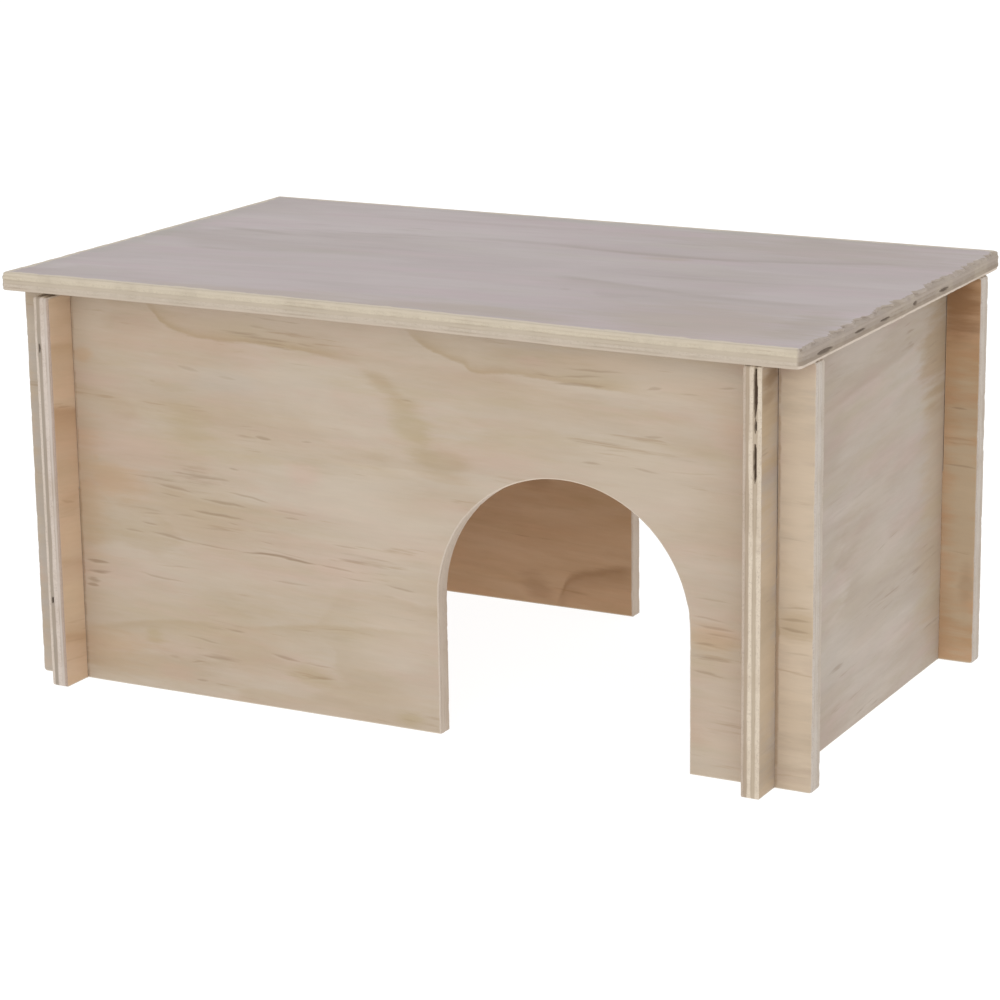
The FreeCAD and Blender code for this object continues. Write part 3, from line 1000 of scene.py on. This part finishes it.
frontFace = {
    "tilt": 2.0, "shift": (0.31, 0.12, 0.0), "seed": 4.0, "flames": 5.0,
    "pale": tone(188, 174, 157), "mid": tone(181, 163, 142),
    "olive": tone(177, 160, 131), "oliveShare": 0.45, "blush": tone(190, 164, 148), "blushShare": 0.50,
    "late": tone(162, 138, 102), "lateShare": 0.22, "wisp": tone(154, 128, 98), "wispShare": 0.45,
    "dash": tone(133, 110, 84), "dashShare": 0.46, "strokeShare": 0.76, "lightShare": 0.25,
    "rim": tone(204, 190, 170), "rimShare": 0.50, "rimTear": 0.6,
    "fibre": 0.012, "streaks": 0.016, "mottle": 0.032,
    "rough": 0.60, "fibreRough": 0.14, "shine": 0.30, "bump": 0.18, "bumpDepth": 0.07 * mm,
}
frontOuter = {
    **frontFace,
    "rings": [
        {"points": [
            (-90, 124), (-83, 118.5), (-80, 115.5), (-75, 113.4), (-65, 111.8), (-50, 112), (-32, 111.2),
            (-8, 108),
        ],
         "side": 1, "fade": 10, "strength": 0.6, "soft": 0.6},
        {"points": [
            (0, 124), (5, 119), (11, 115.6), (17, 113.4), (22, 112), (26, 109.8), (34, 110.6), (50, 110),
            (86, 108),
        ],
         "side": 1, "fade": 10, "strength": 0.55, "soft": 0.6},
        {"points": [
            (-118, 16), (-95, 20.5), (-84, 22.6), (-70, 23.9), (-55, 24.6), (-40, 26.6), (-24, 28.8),
            (0, 30), (24, 31),
        ],
         "side": -1, "fade": 15, "strength": 0.36, "soft": 0.8},
        {"points": [(-113, 71), (-100, 73.5), (-86, 75), (-70, 74), (-50, 78)],
         "side": -1, "fade": 20, "strength": 0.18, "soft": 2.0},
    ],
    # a tint, and patches of u, v, half length, half height, degrees, amount
    "tints": [
        (tone(184, 150, 113), [
            (-103, 66, 15, 8, -4, 0.45), (-109.5, 103, 4.5, 4, 0, 0.4), (-106, 12, 22, 9, 0, 0.35),
            (-106.5, 71.5, 3, 2.5, 0, 0.3), (64, 116, 24, 3.5, 0, 0.35), (92, 112, 16, 4, 0, 0.25),
            (-110, 62, 9, 26, 0, 0.35), (106, 104, 8, 10, 0, 0.15), (100, 40, 9, 6, -5, 0.35),
            (124.5, 47, 7, 6, 0, 0.45),
        ]),
        (tone(170, 152, 117), [
            (-73, 85, 12, 11, 0, 0.4), (4, 93, 12, 7, -55, 0.55), (-88, 18, 5, 4, 0, 0.5),
            (-31, 12.5, 10, 4, -4, 0.45), (3, 3, 7, 3, 0, 0.5), (-56, 116, 14, 4, 0, 0.3),
            (66, 111.5, 14, 3, 0, 0.4), (124, 110, 7, 12, 0, 0.3),
        ]),
        (tone(194, 161, 147), [
            (-32, 73, 8, 5, 0, 0.35), (-20, 47, 14, 6, 0, 0.3), (-80, 6, 8, 3, 0, 0.35),
            (44, 115, 6, 2, 0, 0.4), (-98, 110, 12, 6, 0, 0.12), (-96, 84, 10, 6, 0, 0.15),
        ]),
        # painted light: the patches along the top edge, at v 113 to 119, lift the shade that the roof's
        # overhang casts on the wall
        (tone(198, 184, 167), [
            (-8, 62, 30, 30, 0, 0.35), (-30, 119, 90, 8, 0, 0.45), (72, 113, 48, 10, 0, 0.55),
            (78, 78, 24, 24, 0, 0.38), (104, 14, 12, 22, 0, 0.4), (-106, 117, 10, 9, 0, 0.6),
            (-3, 30, 18, 16, 0, 0.4),
        ]),
        (tone(172, 151, 124), [
            (-70, 57, 32, 13, -3, 0.35), (-70, 92, 28, 9, 0, 0.25), (-90, 7, 30, 7, 0, 0.4),
        ]),
        (tone(178, 168, 157), [
            (-125, 62, 7.5, 76, 0, 0.85), (-60, 99, 16, 5, -4, 0.3), (-55, 100.5, 8, 2.2, -3, 0.3),
        ]),
        # painted light on the right hand tab, beyond the right wall, against the shade that wall casts on
        # it
        (tone(203, 185, 163), [(125.5, 62, 10, 90, 0, 0.95)]),
        # painted shade: dark lines down the two joints, where the side walls meet the front wall
        (tone(138, 108, 80), [(118.9, 60, 0.8, 95, 0, 0.6), (-112.9, 60, 0.7, 95, 0, 0.5)]),
    ],
    "tanPatches": [
        (-5, 104, 9, 3, -25, 0.35), (15, 82, 13, 8, -15, 0.35), (-68, 112, 18, 8, 0, 0.12),
        (125, 49, 8, 6, -8, 0.4),
    ],
    "dashGroups": [
        (-70, 66, 16, 6, -4, 0.9), (-52, 112, 15, 4, -3, 0.7), (-50, 83, 9, 5, -4, 0.5),
        (-60, 55, 18, 5, -3, 0.8), (-55, 23, 24, 3, 3, 0.7), (-35, 14, 15, 5, -3, 0.7),
        (-66, 13, 12, 3, 0, 0.8), (-14, 29, 18, 2.5, 3, 0.6), (74, 91, 22, 8, -2, 0.45),
        (92, 86, 9, 4, -4, 0.5), (99, 38, 9, 8, -6, 0.9), (104, 16, 8, 6, -5, 0.7),
        (50, 113, 14, 4, -3, 0.6), (5, 99, 8, 4, -6, 0.5), (-10, 50, 16, 5, -3, 0.5),
    ],
    # start u, v, end u, v, width, amount
    "strokes": [
        (-50, 117, -43, 116.6, 0.8, 0.3), (-50, 114, -42, 113, 0.8, 0.35),
        (-34, 113.3, -27, 113.2, 0.7, 0.3), (-76, 103, -67, 101.6, 0.9, 0.22),
        (-62, 101, -54, 100.6, 0.8, 0.22), (-86, 98, -83, 97.3, 1.0, 0.25),
        (-49, 84.4, -42.6, 83.7, 0.9, 0.5), (-56, 86.4, -47.8, 86.8, 0.6, 0.3),
        (-33, 84, -28.6, 83.7, 0.6, 0.3), (-70, 69.9, -60.5, 69.4, 0.8, 0.8),
        (-58.6, 73.2, -54.3, 73, 0.7, 0.45), (-86, 65.8, -69, 64.2, 0.8, 0.5),
        (-84, 63, -74, 62.3, 0.7, 0.35), (-60.5, 65.8, -43.5, 64, 0.8, 0.45),
        (-70, 63, -51, 61.1, 0.8, 0.5), (-74, 58.4, -52, 58, 0.9, 0.6), (-60, 56.6, -55, 56.1, 0.6, 0.4),
        (-52, 55.2, -41, 54.6, 0.7, 0.4), (-93, 55.8, -78, 55.9, 0.7, 0.35),
        (-79, 56.3, -65, 56.4, 0.7, 0.35), (-91, 53, -84, 52.2, 0.7, 0.4), (-98, 50, -89, 49.5, 0.7, 0.4),
        (-40, 60, -33.6, 60, 0.7, 0.4), (-44, 62.4, -30, 61.6, 0.6, 0.25), (-88, 50.2, -70, 48.2, 0.8, 0.5),
        (-73, 48.4, -54, 48.6, 0.7, 0.5), (-58, 48.6, -27, 47.5, 1.0, 0.85),
        (-29, 47.6, -14, 45.8, 0.6, 0.4), (-24, 54, -12, 52.9, 0.6, 0.3),
        (-22.4, 44.5, -8, 43.4, 0.6, 0.35), (-6, 43.5, 5.6, 42.8, 0.7, 0.4),
        (-45, 39.7, -29.4, 40.4, 0.6, 0.3), (-49, 52, -42, 51, 0.6, 0.35),
        (-112.4, 38.6, -102.5, 37.6, 1.1, 0.7), (-112.4, 35.2, -101.5, 35, 1.1, 0.7),
        (-112.2, 33, -106, 32.5, 1.1, 0.6), (-112.2, 31.2, -107, 31, 1.0, 0.6),
        (-93.5, 36.9, -74, 35.7, 0.7, 0.35), (-87, 40, -70, 40.7, 0.7, 0.35),
        (-50, 49.9, -31, 48.4, 0.6, 0.35), (-77, 19, -63, 17.4, 0.7, 0.35),
        (-62.4, 23, -54, 22.6, 0.8, 0.55), (-37, 26, -29.4, 26.3, 0.7, 0.5), (-30, 26.9, -14, 28, 0.7, 0.4),
        (-71.5, 13.1, -57, 12.6, 1.0, 0.55), (-83, 11.6, -78, 11.4, 1.1, 0.35),
        (-75, 10.2, -69.4, 11.1, 0.6, 0.4), (-46, 16.8, -34, 15.6, 0.8, 0.5),
        (-35, 15.6, -23, 15.1, 0.7, 0.4), (-36, 10.2, -22, 11.5, 0.9, 0.35), (-73, 4.9, -68, 5, 0.8, 0.4),
        (1, 99.8, 6, 99.2, 0.6, 0.35), (78, 97.1, 85, 97.2, 0.7, 0.35), (65, 91.7, 75, 92.1, 0.7, 0.35),
        (58.4, 87.3, 66, 87.2, 0.8, 0.4), (74.5, 87.7, 84, 86.9, 0.8, 0.35),
        (83, 87.6, 103, 88.3, 0.7, 0.25), (52, 113.9, 74, 113.8, 0.8, 0.4),
        (52, 111.4, 67, 112.4, 0.9, 0.45), (50, 109, 68, 109.7, 0.9, 0.4), (79, 110.1, 84.5, 111, 0.8, 0.4),
        (88, 110, 96, 110.3, 0.7, 0.3), (100.5, 113, 107, 113.4, 0.9, 0.45),
        (93, 47.2, 104, 46.2, 0.7, 0.45), (94, 44.6, 107, 43.6, 0.8, 0.45), (97, 42.4, 109, 41.6, 0.7, 0.4),
        (93, 39, 105, 38.4, 0.8, 0.55), (93, 31.6, 104, 30.4, 0.8, 0.45), (93.4, 52.6, 106, 52, 0.6, 0.25),
        (100, 22, 107, 21.4, 0.8, 0.25), (119, 53, 129.6, 53.4, 0.6, 0.35),
        (119, 49.8, 129.6, 49.9, 0.8, 0.45), (119, 47.2, 129.6, 46.6, 0.9, 0.5),
        (121, 40, 129.6, 40.1, 0.7, 0.25),
    ],
}
brownInside = {
    "pale": tone(188, 156, 125), "mid": tone(176, 142, 107), "olive": tone(168, 136, 98),
    "blush": tone(188, 148, 115), "late": tone(140, 104, 70), "lateShare": 0.35,
    "wisp": tone(146, 112, 78), "wispShare": 0.40,
    "dash": tone(112, 80, 52), "dashShare": 0.40, "rim": tone(194, 168, 142),
}
frontInner = {**frontFace, **brownInside, "shift": (0.63, 0.2, 0.0), "seed": 6.0}
backInner = {
    **frontFace, **brownInside, "shift": (0.9, 0.5, 0.0), "seed": 9.0, "tilt": 3.0,
    "rings": [
        {"points": [(-16, 1), (-13.5, 6), (-11, 10.5), (-7, 12.8), (-2, 14), (6, 16), (16, 17)],
         "side": -1, "fade": 11, "strength": 0.75, "soft": 1.8},
    ],
    "tanPatches": [(-23, 6, 5, 8, 60, 0.35), (-22, 43, 8, 4, 0, 0.3), (0, 60, 20, 12, 0, 0.2)],
    "tints": [
        # the back wall's right hand tab: painted shade at its top, under the roof and beside the right
        # wall, paler and less orange lower down, and a small darker patch low down
        (tone(184, 166, 140), [(126, 50, 8, 56, 0, 0.8)]),
        (tone(140, 102, 68), [(122, 114, 10, 14, 0, 0.8), (127, 25, 3, 9, 0, 0.3)]),
    ],
    "dashGroups": [(-40, 22, 20, 8, 0, 0.5)],
    # the long upright stroke at u 118.8 is painted shade along the joint with the right wall, below its
    # seat
    "strokes": [
        (120.5, 81.4, 127, 81, 0.6, 0.5), (118.5, 63.4, 131, 62.6, 0.6, 0.4),
        (120, 36, 129, 35.2, 0.5, 0.3), (118.8, 0.5, 118.8, 60, 0.35, 0.4),
    ],
}
backOuter = {**frontFace, "shift": (0.12, 0.77, 0.0), "seed": 33.0, "lateShare": 0.4, "flames": 6.0}
longWallEdge = {
    **sawnLook, "seed": 2.0,
    "endTones": tones((189, 177, 164), (185, 174, 162), (191, 181, 171), (193, 183, 172), (191, 181, 171)),
    # painted light on parts of the edge, from one place to another along the board in mm: the door's arch
    # and jambs are lifted against the shade that falls inside the doorway
    "paintedLightSpans": [(tone(214, 196, 176), 8, 97, 0.4)],
}
walls = {
    "front_panel": {"outer": frontOuter, "inner": frontInner, "edge": longWallEdge, "seed": 1.0,
                    "innerPlane": frontHigh.y, "outerIsTop": True},
    "back_panel": {"outer": backOuter, "inner": backInner, "edge": {**longWallEdge, "seed": 8.0},
                   "seed": 6.0, "innerPlane": backHigh.y, "outerIsTop": False},
}
# along X and up Z make the sheet's own normal point at -Y
longWallSlots = slotBoxes([(leftLow.x, leftHigh.x), (rightLow.x, rightHigh.x)],
                          joinery["seatHeight"], wallHeight)
for name, wall in walls.items():
    faces = [faceMaterial(name + "_" + side, "xzy", wall[side]) for side in ("outer", "inner")]
    if not wall["outerIsTop"]:
        faces.reverse()
    materials = (*faces, edgeMaterial(name + "_edge", "xzy", wall["edge"]))
    values = changed(boardValues, {"Seed": wall["seed"]}, joints=longWallSlots)
    piece = makeBoard(name + "_board", longWallCorners(), [], values, materials,
                      ((1, 0, 0), (0, 0, 1)), (0, wall["innerPlane"], 0))
    finishPiece(piece, name, "long_walls")


# left and right walls

def sideWallCorners():
    radius, top, seat = joinery["cornerRadius"], wallHeight, joinery["seatHeight"]
    front, back, play = leftLow.y, leftHigh.y, joinery["slotPlay"]
    corners = [(front, 0, radius)]
    for low, high in ((frontLow.y, frontHigh.y), (backLow.y, backHigh.y)):
        corners += [(low - play, 0, 0), (low - play, seat, 0),
                    (high + play, seat, 0), (high + play, 0, 0)]
    return corners + [(back, 0, radius), (back, top, radius), (front, top, radius)]


def edgeGap(through, lowZ, highZ, width):
    # a gap on the front edge of a side wall, all in mm: place through the board, ends, width
    return ((leftLow.y, lowZ * mm, through * mm), (leftLow.y, highZ * mm, through * mm), width * mm)


leftInner = {
    **frontFace, **brownInside, "shift": (0.2, 0.7, 0.0), "seed": 14.0, "tilt": 8.0,
    "pale": tone(205, 180, 154), "mid": tone(198, 171, 142), "olive": tone(192, 166, 134),
    "blush": tone(208, 175, 147), "late": tone(170, 131, 94), "dash": tone(140, 104, 72),
    "rings": [
        {"points": [(-96, 92), (-79.5, 88.9), (-67, 86.4), (-50, 83)],
         "side": -1, "fade": 34, "strength": 0.6, "soft": 1.5},
        {"points": [(-96, 112), (-79.5, 108), (-67, 106.4), (-50, 104)],
         "side": -1, "fade": 6, "strength": 0.32, "soft": 1.2},
        {"points": [(-96, 44), (-79.5, 41), (-67, 38.2), (-50, 34)],
         "side": -1, "fade": 8, "strength": 0.32, "soft": 1.5},
        {"points": [(-96, 21), (-79.5, 17.5), (-67, 14.6), (-50, 12)],
         "side": -1, "fade": 14, "strength": 0.42, "soft": 1.5},
    ],
    "tints": [
        (tone(206, 182, 152), [(-74, 28, 9, 8, 0, 0.6), (-74, 46, 9, 6, 0, 0.4)]),
        (tone(178, 142, 106), [(-74, 58, 9, 5, 0, 0.3)]),
    ],
    "strokes": [(-78, 88.4, -69, 87.2, 0.6, 0.35), (-79, 60, -70, 57, 0.7, 0.25)],
}
rightOuter = {
    **frontFace, "shift": (0.4, 0.9, 0.0), "seed": 21.0, "tilt": -3.0, "flames": 4.0,
    "pale": tone(178, 167, 156), "mid": tone(172, 158, 144),
    "olive": tone(167, 155, 132), "oliveShare": 0.50, "blush": tone(180, 159, 150), "blushShare": 0.55,
    "late": tone(150, 131, 110), "lateShare": 0.35, "wisp": tone(146, 129, 112), "wispShare": 0.60,
    "dash": tone(126, 106, 88), "dashShare": 0.45, "rim": tone(188, 177, 164), "mottle": 0.045,
    "rings": [
        {"points": [(-66, 96), (-38, 99), (-10, 101.5), (20, 104), (50, 108), (62, 111)],
         "side": 1, "fade": 10, "strength": 0.34, "soft": 1.2},
        {"points": [(-64, 64), (-30, 66), (0, 67), (30, 71), (62, 75)],
         "side": -1, "fade": 12, "strength": 0.26, "soft": 2.0},
    ],
    "tints": [
        (tone(170, 146, 112), [(60, 60, 20, 80, 0, 0.35)]),
        # painted light: the patch at the top, under the roof's edge, lifts the shade of the overhang
        (tone(190, 179, 168), [(4, 34, 34, 42, 0, 0.5), (-8, 114, 24, 9, 0, 0.5)]),
        # painted shade in the top back corner, under the roof and beside the back wall's tab
        (tone(150, 128, 98), [(55, 103, 14, 22, 0, 0.5)]),
        # the strip of the outer face in front of the front wall's tab sits in the corner between them: warm
        # painted bounce light lower down, browner painted shade near the top under the roof, darkest in
        # spots at the very top
        (tone(187, 166, 139), [(-76, 40, 12, 72, 0, 0.85)]),
        (tone(180, 157, 127), [(-76, 108, 12, 24, 0, 0.85)]),
        (tone(128, 100, 70), [(-72, 119, 9, 4, 25, 0.7), (-75, 113, 6, 3, 15, 0.4)]),
    ],
    "dashGroups": [
        (30, 108, 8, 5, 5, 0.7), (-28, 106, 12, 5, 5, 0.7), (-26, 71, 12, 6, 0, 0.6),
        (48, 41, 10, 10, 0, 0.5), (10, 30, 20, 10, 0, 0.4), (50, 100, 8, 14, 0, 0.6),
    ],
}
unmarked = {"strokes": [], "rings": [], "tints": []}
leftOuter = {**rightOuter, **unmarked, "shift": (0.77, 0.3, 0.0), "seed": 27.0, "lateShare": 0.4}
rightInner = {**leftInner, **unmarked, "shift": (0.5, 0.4, 0.0), "seed": 45.0}
# tones run from the low x side to the high x side
sides = {
    "left_side_panel": {
        "top": leftInner, "bottom": leftOuter, "body": "left_side_wall", "seed": 12.0, "low": leftLow.x,
        "edge": {**sawnLook, "seed": 3.0,
                 "endTones": tones((206, 193, 180), (160, 148, 135), (206, 193, 182), (196, 184, 174),
                                   (176, 157, 144))},
        "borders": (0.20, 0.42, 0.68, 0.86),
        "gaps": [edgeGap(1.6, 106, 108, 0.35), edgeGap(1.7, 27, 28.6, 0.5)],
    },
    "right_side_panel": {
        "top": rightOuter, "bottom": rightInner, "body": "right_side_wall", "seed": 15.0, "low": rightLow.x,
        "edge": {**sawnLook, "seed": 5.0,
                 "endTones": tones((190, 174, 158), (172, 155, 136), (217, 203, 184), (184, 169, 149),
                                   (213, 199, 180))},
        "borders": (0.18, 0.35, 0.57, 0.78),
        "gaps": [edgeGap(3.75, 108.6, 123, 0.75), edgeGap(3.8, 104.8, 107.6, 0.25),
                 edgeGap(3.75, 91, 101, 0.55)],
    },
}
sideWallSlots = slotBoxes([(frontLow.y, frontHigh.y), (backLow.y, backHigh.y)], 0, joinery["seatHeight"])
for name, wall in sides.items():
    faces = [faceMaterial(name + "_" + side, "yzx", wall[side]) for side in ("top", "bottom")]
    materials = (*faces, edgeMaterial(name + "_edge", "yzx", wall["edge"]))
    borders = {"Border %d" % (k + 1): border for k, border in enumerate(wall["borders"])}
    values = changed(boardValues, {"Seed": wall["seed"], **borders}, joints=sideWallSlots, step=0.7 * mm)
    piece = makeBoard(name + "_board", sideWallCorners(), wall["gaps"], values, materials,
                      ((0, 1, 0), (0, 0, 1)), (wall["low"], 0, 0))
    finishPiece(piece, name, wall["body"])


# roof

roofShape = {
    "frontRightRadius": 2.4 * mm,     # worn corners
    "backRightRadius": 3.2 * mm,
    "warpHeight": 1.2 * mm,
    # share of the warp along the front edge, by x in mm
    "warpProfile": [(-130, 0.90), (-100, 1.0), (-40, 1.0), (0, 0.85), (35, 0.50), (70, 0.12), (100, 0.0),
                    (130, 0.0)],
    "warpFade": 1.4,                  # how fast it dies away towards the back
    "tornStrip": 0.4 * mm,            # along the right hand edge
    # how much of the veneer is torn on the right hand edge, in the front half and in the back half
    "wear": (1.0, 0.20, 0.06),
}


def roofLift(x, y):
    # the dry board bows up along its front edge, most of all at the left
    points = roofShape["warpProfile"]
    spot = min(max(x / mm, points[0][0]), points[-1][0] - 1e-6)
    for (lowX, lowShare), (highX, highShare) in zip(points, points[1:]):
        if lowX <= spot <= highX:
            share = (spot - lowX) / (highX - lowX)
            share = share * share * (3 - 2 * share)
            along = lowShare + (highShare - lowShare) * share
    back = (roofHigh.y - y) / (roofHigh.y - roofLow.y)
    return roofShape["warpHeight"] * along * max(back, 0) ** roofShape["warpFade"]


def roofWear(x, y):
    # the veneer is torn along the right hand edge, and a little along the front
    rightWear, frontWear, backWear = roofShape["wear"]
    if x > roofHigh.x - roofShape["tornStrip"]:
        return rightWear
    return frontWear if y < 0 else backWear


roofTop = {
    **frontFace,
    "tilt": -6.0, "shift": (0.1, 0.2, 0.0), "seed": 31.0, "flames": 2.6,
    "pale": tone(189, 179, 178), "mid": tone(182, 171, 170),
    "olive": tone(182, 174, 166), "oliveShare": 0.50, "blush": tone(190, 173, 176), "blushShare": 0.55,
    "late": tone(156, 144, 134), "wisp": tone(164, 152, 148), "wispShare": 0.35,
    "dash": tone(140, 126, 122), "dashShare": 0.25, "rim": tone(208, 196, 178),
    "rimShare": 0.90, "rimTear": 1.2, "mottle": 0.026, "fibre": 0.006, "streaks": 0.010,
    "rough": 0.56, "bump": 0.10,
    "rings": [
        {"points": [(-6, 33), (20, 29), (38, 28), (60, 30), (82, 35), (104, 42), (130, 53)],
         "side": 1, "fade": 12, "strength": 0.55, "soft": 2.2, "wobble": 4.0},
        {"points": [(20, -11), (36, -14), (60, -18), (84, -22), (105, -22), (130, -19)],
         "side": -1, "fade": 26, "strength": 0.42, "soft": 2.0, "wobble": 3.0},
    ],
    "tints": [
        (tone(198, 189, 188), [
            (-62, 34, 76, 42, 0, 0.3), (-88, 12, 36, 14, 0, 0.5), (-112, -64, 16, 12, 0, 0.4),
        ]),
        (tone(176, 161, 145), [
            (43, 25, 9, 3, 8, 0.45), (92, -56, 44, 26, 0, 0.45), (20, -70, 60, 9, 0, 0.45),
            (-40, -74, 50, 6, 0, 0.4),
        ]),
        (tone(168, 156, 144), [(82, 62, 56, 22, 0, 0.4), (119, -46, 10, 24, 0, 0.45)]),
        (tone(154, 142, 134), [
            (-98, 16, 20, 3.0, -8, 0.3), (-92, -17, 15, 2.6, 0, 0.28), (-10, 33, 22, 3.2, 0, 0.28),
            (40, 30, 34, 2.8, 0, 0.25), (70, 0, 22, 2.0, 6, 0.2), (-40, 58, 40, 3.4, 3, 0.2),
        ]),
        (tone(172, 170, 160), [(-126, 0, 6, 78, 0, 0.35), (0, 77, 130, 5, 0, 0.35)]),
    ],
    "tanPatches": [(36, -31, 3, 2, 0, 0.35), (122, 46, 16, 8, 12, 0.2)],
    "dashGroups": [(-70, 30, 40, 14, 4, 0.7), (20, 10, 40, 20, 0, 0.4), (60, 60, 50, 12, 4, 0.5)],
    "strokes": [
        (-96, 34, -82, 36, 1.0, 0.35), (-86, 26, -72, 27.5, 1.0, 0.3), (-60, 40, -46, 42, 0.9, 0.35),
        (-20, 60, 4, 63, 0.9, 0.3), (20, 71, 60, 72, 1.1, 0.25), (-70, -30, -52, -28, 0.8, 0.15),
    ],
}
roofUnder = {**frontFace, "shift": (0.7, 0.1, 0.0), "seed": 52.0, "lateShare": 0.35}
roofEdge = {
    # hollow is a dark tone painted as shade into the gaps of the right hand edge
    **sawnLook, "seed": 7.0, "hollow": tone(112, 99, 87), "poreShare": 0.20, "glueShare": 0.25,
    "stain": tone(180, 168, 150), "stainShare": 0.5,
    # from the underside up. The dark second ply is partly its own tone and partly a painted shade band
    # above the pale bottom ply, and the upper plies are darkened as painted shade on the ledges of the torn
    # chips
    "endTones": tones((206, 192, 178), (146, 132, 118), (156, 143, 131), (162, 149, 138), (172, 160, 150)),
    "sideTones": tones((192, 178, 162), (194, 181, 165), (188, 175, 157), (202, 190, 170), (201, 189, 170)),
}


def roofGap(y, z, length, width):
    # a gap on the right hand edge, in mm, z up from the underside
    low, high = ((roofHigh.x, (y + half) * mm, z * mm) for half in (-length / 2, length / 2))
    return (low, high, width * mm)


roofGaps = [roofGap(-62.5, 2.1, 10, 0.9), roofGap(-37, 2.7, 7, 0.4), roofGap(-18, 2.4, 6, 0.3),
            roofGap(5.8, 2.6, 2.6, 0.9), roofGap(29.5, 2.4, 7, 0.6)]


def roofCorners():
    radius = joinery["cornerRadius"]
    return [(roofLow.x, roofLow.y, radius), (roofHigh.x, roofLow.y, roofShape["frontRightRadius"]),
            (roofHigh.x, roofHigh.y, roofShape["backRightRadius"]), (roofLow.x, roofHigh.y, radius)]


roofValues = changed(boardValues, {
    "Thickness": roofBoard, "Border 1": 0.18, "Border 2": 0.38, "Border 3": 0.60, "Border 4": 0.80,
    "Border Wander": 0.10, "Top Chips": 2.3 * mm, "Bottom Chips": 0.25 * mm, "Chip Length": 4.2 * mm,
    "Chip Share": 0.36, "Fray": 0.30 * mm, "Arris": 0.45 * mm, "Gap Depth": 0.35 * mm, "Seed": 40.0},
    rimWidth=4.5 * mm, cell=9 * mm, lift=roofLift, wear=roofWear, step=0.75 * mm)
roofMaterials = (faceMaterial("roof_top", "xyz", roofTop), faceMaterial("roof_under", "xyz", roofUnder),
                 edgeMaterial("roof_edge", "xyz", roofEdge))
roof = makeBoard("roof_board", roofCorners(), roofGaps, roofValues, roofMaterials, ((1, 0, 0), (0, 1, 0)),
                 (0, 0, roofLow.z))
finishPiece(roof, "roof_panel", "roof")


# battens under the roof

batten = {
    "bevel": 0.7 * mm,
    "cell": 2.0 * mm,
    "waviness": 0.12 * mm,
    "sharpAngle": 50,
    "pale": tone(206, 178, 138),
    "mid": tone(192, 160, 118),
    "late": tone(160, 118, 76),
    "lateShare": 0.6,
    "lateDepth": 0.3,
    "fibreRange": (0.94, 1.05),
    "ringsPerMetre": 420.0,
    "ringWander": 3.0 * mm,
    "heart": (0.021, -0.013),     # of the tree, sideways and up from the middle of the strip's top
    "rough": 0.6,
    "fibreRough": 0.2,
    "shine": 0.5,
    "bump": 0.4,
    "bumpDepth": 0.15 * mm,
}


def battenMaterial(middleX):
    material, tree, shader = newMaterial("batten_pine")
    place = addNode(tree, "ShaderNodeTexCoord").outputs["Object"]
    parts = splitVector(tree, place)
    side = calc(tree, "SIGN", parts["X"])
    x = minus(tree, calc(tree, "ABSOLUTE", parts["X"]), middleX + batten["heart"][0])
    z = minus(tree, parts["Z"], roofLow.z + batten["heart"][1])
    warped = noise(tree, vectorCalc(tree, "MULTIPLY", place, (60.0, 9.0, 60.0)), detail=2.0, w=side)
    radius = calc(tree, "SQRT", plus(tree, times(tree, x, x), times(tree, z, z)))
    radius = plus(tree, radius, times(tree, warped, batten["ringWander"]))
    ring = calc(tree, "FRACT", times(tree, radius, batten["ringsPerMetre"]))
    late = times(tree, ease(tree, ring, 0.35, 0.92), ease(tree, ring, 0.93, 1.0, 1.0, 0.0))
    fibre = noise(tree, vectorCalc(tree, "MULTIPLY", place, (1700.0, 40.0, 1700.0)), detail=3.0)
    cloud = noise(tree, vectorCalc(tree, "MULTIPLY", place, (60.0, 14.0, 60.0)), detail=3.0)
    colour = mixColour(tree, ease(tree, cloud, 0.3, 0.7), batten["pale"], batten["mid"])
    colour = tinted(tree, colour, batten["late"], late, batten["lateShare"])
    colour = brighten(tree, colour, ease(tree, fibre, 0.25, 0.75, *batten["fibreRange"]))
    roughness = plus(tree, batten["rough"], times(tree, fibre, batten["fibreRough"]))
    relief = minus(tree, fibre, times(tree, late, batten["lateDepth"]))
    finishSurface(tree, shader, colour, roughness, relief, batten)
    return material


def makeBatten(name, node, material):
    low, high = (Vector(corner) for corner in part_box(node))
    middle = (low + high) / 2
    build = bmesh.new()
    block = Matrix.Translation(middle) @ Matrix.Diagonal((*(high - low), 1))
    bmesh.ops.create_cube(build, size=1.0, matrix=block)
    bmesh.ops.bevel(build, geom=build.edges[:], offset=batten["bevel"], segments=3, affect="EDGES",
                    profile=0.5)
    for k in range(1, round((high.y - low.y) / batten["cell"])):
        everything = build.verts[:] + build.edges[:] + build.faces[:]
        bmesh.ops.bisect_plane(build, geom=everything, dist=1e-7,
                               plane_co=(0, low.y + k * batten["cell"], 0), plane_no=(0, 1, 0))
    for vert in build.verts:
        # the planed faces are a little uneven, always inwards, and the strip bends with the roof
        sink = 0.5 + 0.5 * mathNoise.noise(Vector((vert.co.x * 90, vert.co.y * 35, vert.co.z * 90)))
        towards = Vector((middle.x - vert.co.x, 0, max(0, middle.z - vert.co.z)))
        vert.co += towards.normalized() * sink * batten["waviness"]
        vert.co.z += roofLift(vert.co.x, vert.co.y)
    mesh = bpy.data.meshes.new(name)
    build.to_mesh(mesh)
    build.free()
    mesh.materials.append(material)
    return addPiece(name, mesh, batten["sharpAngle"])


pine = battenMaterial(sum(corner[0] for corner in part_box("right_roof_batten")) / 2)
for name, node in (("left_batten_strip", "left_roof_batten"), ("right_batten_strip", "right_roof_batten")):
    finishPiece(makeBatten(name, node, pine), node, "roof")
